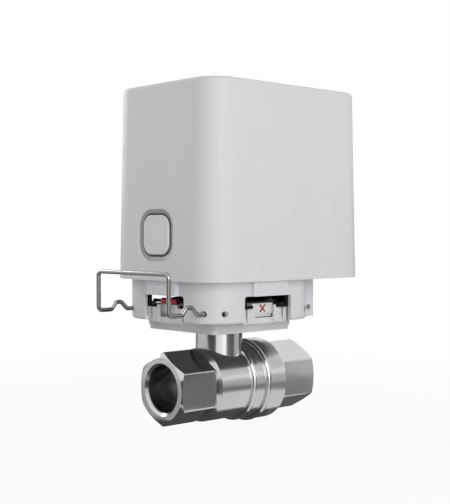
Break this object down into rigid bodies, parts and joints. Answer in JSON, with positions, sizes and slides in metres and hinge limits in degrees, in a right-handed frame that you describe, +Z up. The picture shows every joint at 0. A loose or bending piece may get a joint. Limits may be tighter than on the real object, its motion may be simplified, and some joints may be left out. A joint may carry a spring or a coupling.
{
  "type": "smart water valve",
  "caption": "Motorised quarter-turn ball valve with threaded ports, an adapter plate with a position dial, and a boxy clip-on actuator held down by a wire clip.",
  "frame": {"origin": "on the pipe axis where the inlet's thread begins, just inside its mouth", "axes": "+X along the pipe from inlet to outlet, +Z up the valve stem towards the actuator, +Y to the left of the flow"},
  "size_m": [0.1023, 0.066, 0.1389],
  "materials": {
    "nickel": "nickel plated and polished",
    "ball_chrome": "hard chromed",
    "clip_wire": "bright drawn wire",
    "seat_white": "smooth",
    "seal_black": "soft",
    "brass": "turned",
    "screw_steel": "zinc plated",
    "adapter_plastic": "fine texture",
    "dial_plastic": "smooth",
    "mark_red": "printed",
    "mark_grey": "printed",
    "sleeve_red": "smooth",
    "black_plastic": "smooth",
    "base_plastic": "fine texture",
    "cover_plastic": "fine texture",
    "bezel_plastic": "smooth",
    "membrane": "soft",
    "button_plastic": "fine texture",
    "gear_white": "smooth",
    "gearbox_grey": "smooth",
    "motor_steel": "plated",
    "contact_metal": "plated",
    "board_green": "solder mask",
    "chip_black": "smooth",
    "shield": "plain",
    "socket_white": "smooth",
    "cell_wrap": "shrink wrap",
    "lead_red": "smooth"
  },
  "bodies": {
    "frame": {"adapter": "adapter_plastic", "adapter_screws": "screw_steel", "antenna": "contact_metal", "base_housing": "base_plastic", "batteries": "cell_wrap", "battery_contacts": "contact_metal", "battery_holder": "black_plastic", "battery_leads": "lead_red", "battery_strap": "black_plastic", "board_screws": "screw_steel", "board_sockets": "socket_white", "body_o_ring": "seal_black", "button_bezel": "bezel_plastic", "button_board": "board_green", "button_leads": "lead_red", "button_membrane": "membrane", "capacitors": "shield", "chassis": "black_plastic", "cover": "cover_plastic", "cover_gasket": "seal_black", "cover_screws": "screw_steel", "gear_pins": "screw_steel", "gearbox_lid": "gearbox_grey", "gearbox_screws": "screw_steel", "gearbox_tray": "gearbox_grey", "housing_screws": "screw_steel", "limit_switches": "black_plastic", "main_board": "board_green", "motor_can": "motor_steel", "motor_driver": "chip_black", "motor_end_bell": "black_plastic", "motor_leads": "lead_red", "motor_terminals": "contact_metal", "neck_gasket": "seal_black", "output_bush": "brass", "radio_module": "shield", "seat_inlet": "seat_white", "seat_outlet": "seat_white", "stem_thrust_washer": "seat_white", "tact_switch": "black_plastic", "valve_body": "nickel", "valve_end_piece": "nickel"},
    "valve_stem": {"ball": "ball_chrome", "stem": "brass", "stem_o_rings": "seal_black", "position_dial": "dial_plastic", "closed_marks": "mark_red", "open_marks": "mark_grey", "pointer": "black_plastic", "pointer_sleeve": "sleeve_red", "output_shaft": "screw_steel", "switch_cam": "gear_white", "output_gear": "gear_white"},
    "second_idler": {"second_gear": "gear_white"},
    "first_idler": {"first_gear": "gear_white"},
    "motor_rotor": {"motor_shaft": "screw_steel", "motor_pinion": "brass"},
    "button": {"function_button": "button_plastic", "switch_plunger": "chip_black"},
    "clip": {"wire_clip": "clip_wire"}
  },
  "joints": [
    {"name": "valve_turn", "type": "hinge", "parent": "frame", "child": "valve_stem", "pos_m": [0.0298, 0, 0], "axis": [0, 0, 1], "range_deg": [0, 90]},
    {"name": "second_gear_spin", "type": "hinge", "parent": "frame", "child": "second_idler", "pos_m": [0.05235, -0.00821, 0.05], "axis": [0, 0, 1], "range_deg": [-360, 0]},
    {"name": "first_gear_spin", "type": "hinge", "parent": "frame", "child": "first_idler", "pos_m": [0.05608, 0.0057, 0.05], "axis": [0, 0, 1], "range_deg": [0, 1080]},
    {"name": "motor_spin", "type": "hinge", "parent": "frame", "child": "motor_rotor", "pos_m": [0.06908, 0.0057, 0.06], "axis": [0, 0, 1], "range_deg": [-3600, 0]},
    {"name": "button_press", "type": "slide", "parent": "frame", "child": "button", "axis": [1, 0, 0], "range_m": [0, 0.0005], "stiffness_N_per_m": 1500, "springref_m": -0.0005},
    {"name": "clip_pull", "type": "slide", "parent": "frame", "child": "clip", "axis": [-1, 0, 0], "range_m": [0, 0.016]}
  ],
  "couplings": [
    {"joint": "second_gear_spin", "follows": "valve_turn", "ratio": -4},
    {"joint": "first_gear_spin", "follows": "valve_turn", "ratio": 12},
    {"joint": "motor_spin", "follows": "valve_turn", "ratio": -40}
  ]
}
